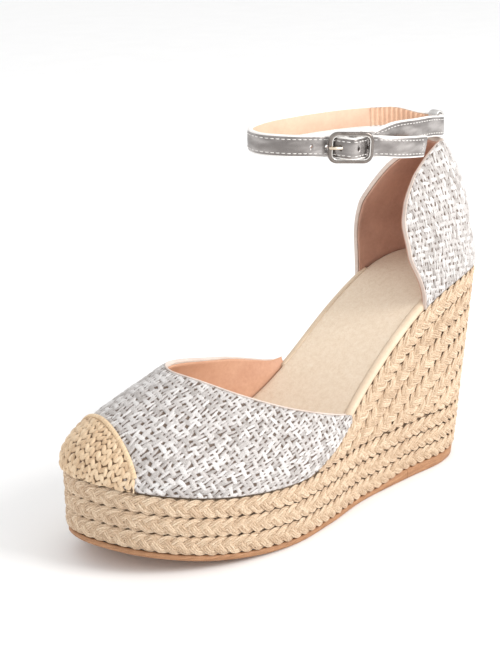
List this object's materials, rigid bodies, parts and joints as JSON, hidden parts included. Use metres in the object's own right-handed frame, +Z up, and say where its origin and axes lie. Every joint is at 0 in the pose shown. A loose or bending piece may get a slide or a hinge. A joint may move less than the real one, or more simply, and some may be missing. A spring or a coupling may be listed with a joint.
{
  "type": "wedge sandal",
  "caption": "Left wedge-heel espadrille sandal: braided jute sole and wedge, silver woven vamp and heel cup, straw toe cap, and a silver ankle strap with a buckle.",
  "frame": {"origin": "centre of the bounding box in plan, on the floor the sole stands on", "axes": "+X towards the toe, +Y towards the outer side of the foot, +Z up"},
  "size_m": [0.2322, 0.0838, 0.1674],
  "materials": {
    "jute": "matte",
    "straw": "matte",
    "silver_weave": "satin",
    "silver_leather": "satin",
    "nude_lining": "matte",
    "suede_sock": "matte",
    "pale_edge": "matte",
    "elastic": "matte",
    "interlining": "matte",
    "tan_rubber": "matte",
    "cork": "matte",
    "board": "matte",
    "foam": "matte",
    "steel": "satin",
    "nickel": "polished",
    "pale_gold": "polished"
  },
  "bodies": {
    "shoe": {"outsole": "tan_rubber", "heel_lift": "tan_rubber", "wedge_core": "cork", "shank": "steel", "platform_braid_1": "jute", "platform_braid_2": "jute", "platform_braid_3": "jute", "wedge_braid_1": "jute", "wedge_braid_2": "jute", "wedge_braid_3": "jute", "wedge_braid_4": "jute", "wedge_braid_5": "jute", "wedge_braid_6": "jute", "wedge_braid_7": "jute", "insole_board": "board", "insole_foam": "foam", "sock_lining": "suede_sock", "insole_binding_outer": "pale_edge", "insole_binding_inner": "pale_edge", "vamp_outer": "silver_weave", "vamp_interlining": "interlining", "vamp_lining": "nude_lining", "vamp_binding": "pale_edge", "toe_cap": "straw", "toe_cap_edging": "straw", "toe_puff": "board", "counter_outer": "silver_weave", "heel_stiffener": "board", "counter_lining": "nude_lining", "counter_binding_outer": "pale_edge", "counter_binding_inner": "pale_edge"},
    "ankle_strap": {"heel_loop": "silver_leather", "ankle_strap": "silver_leather", "strap_lining": "nude_lining", "strap_lining_rear": "nude_lining", "heel_elastic": "elastic", "buckle_fold": "silver_leather"},
    "buckle": {"buckle_frame": "nickel"},
    "prong": {"buckle_prong": "pale_gold"}
  },
  "joints": [
    {"name": "strap_swing", "type": "hinge", "parent": "shoe", "child": "ankle_strap", "pos_m": [-0.09984, -0.00052, 0.1549], "axis": [0, -1, 0], "range_deg": [-15, 55]},
    {"name": "buckle_rock", "type": "hinge", "parent": "ankle_strap", "child": "buckle", "pos_m": [-0.02864, 0.01108, 0.159], "axis": [-0.0609, 0.0343, 0.9976], "range_deg": [-1.5, 1.5]},
    {"name": "prong_lift", "type": "hinge", "parent": "buckle", "child": "prong", "pos_m": [-0.02864, 0.01108, 0.159], "axis": [-0.0609, 0.0343, 0.9976], "range_deg": [0, 12]}
  ]
}
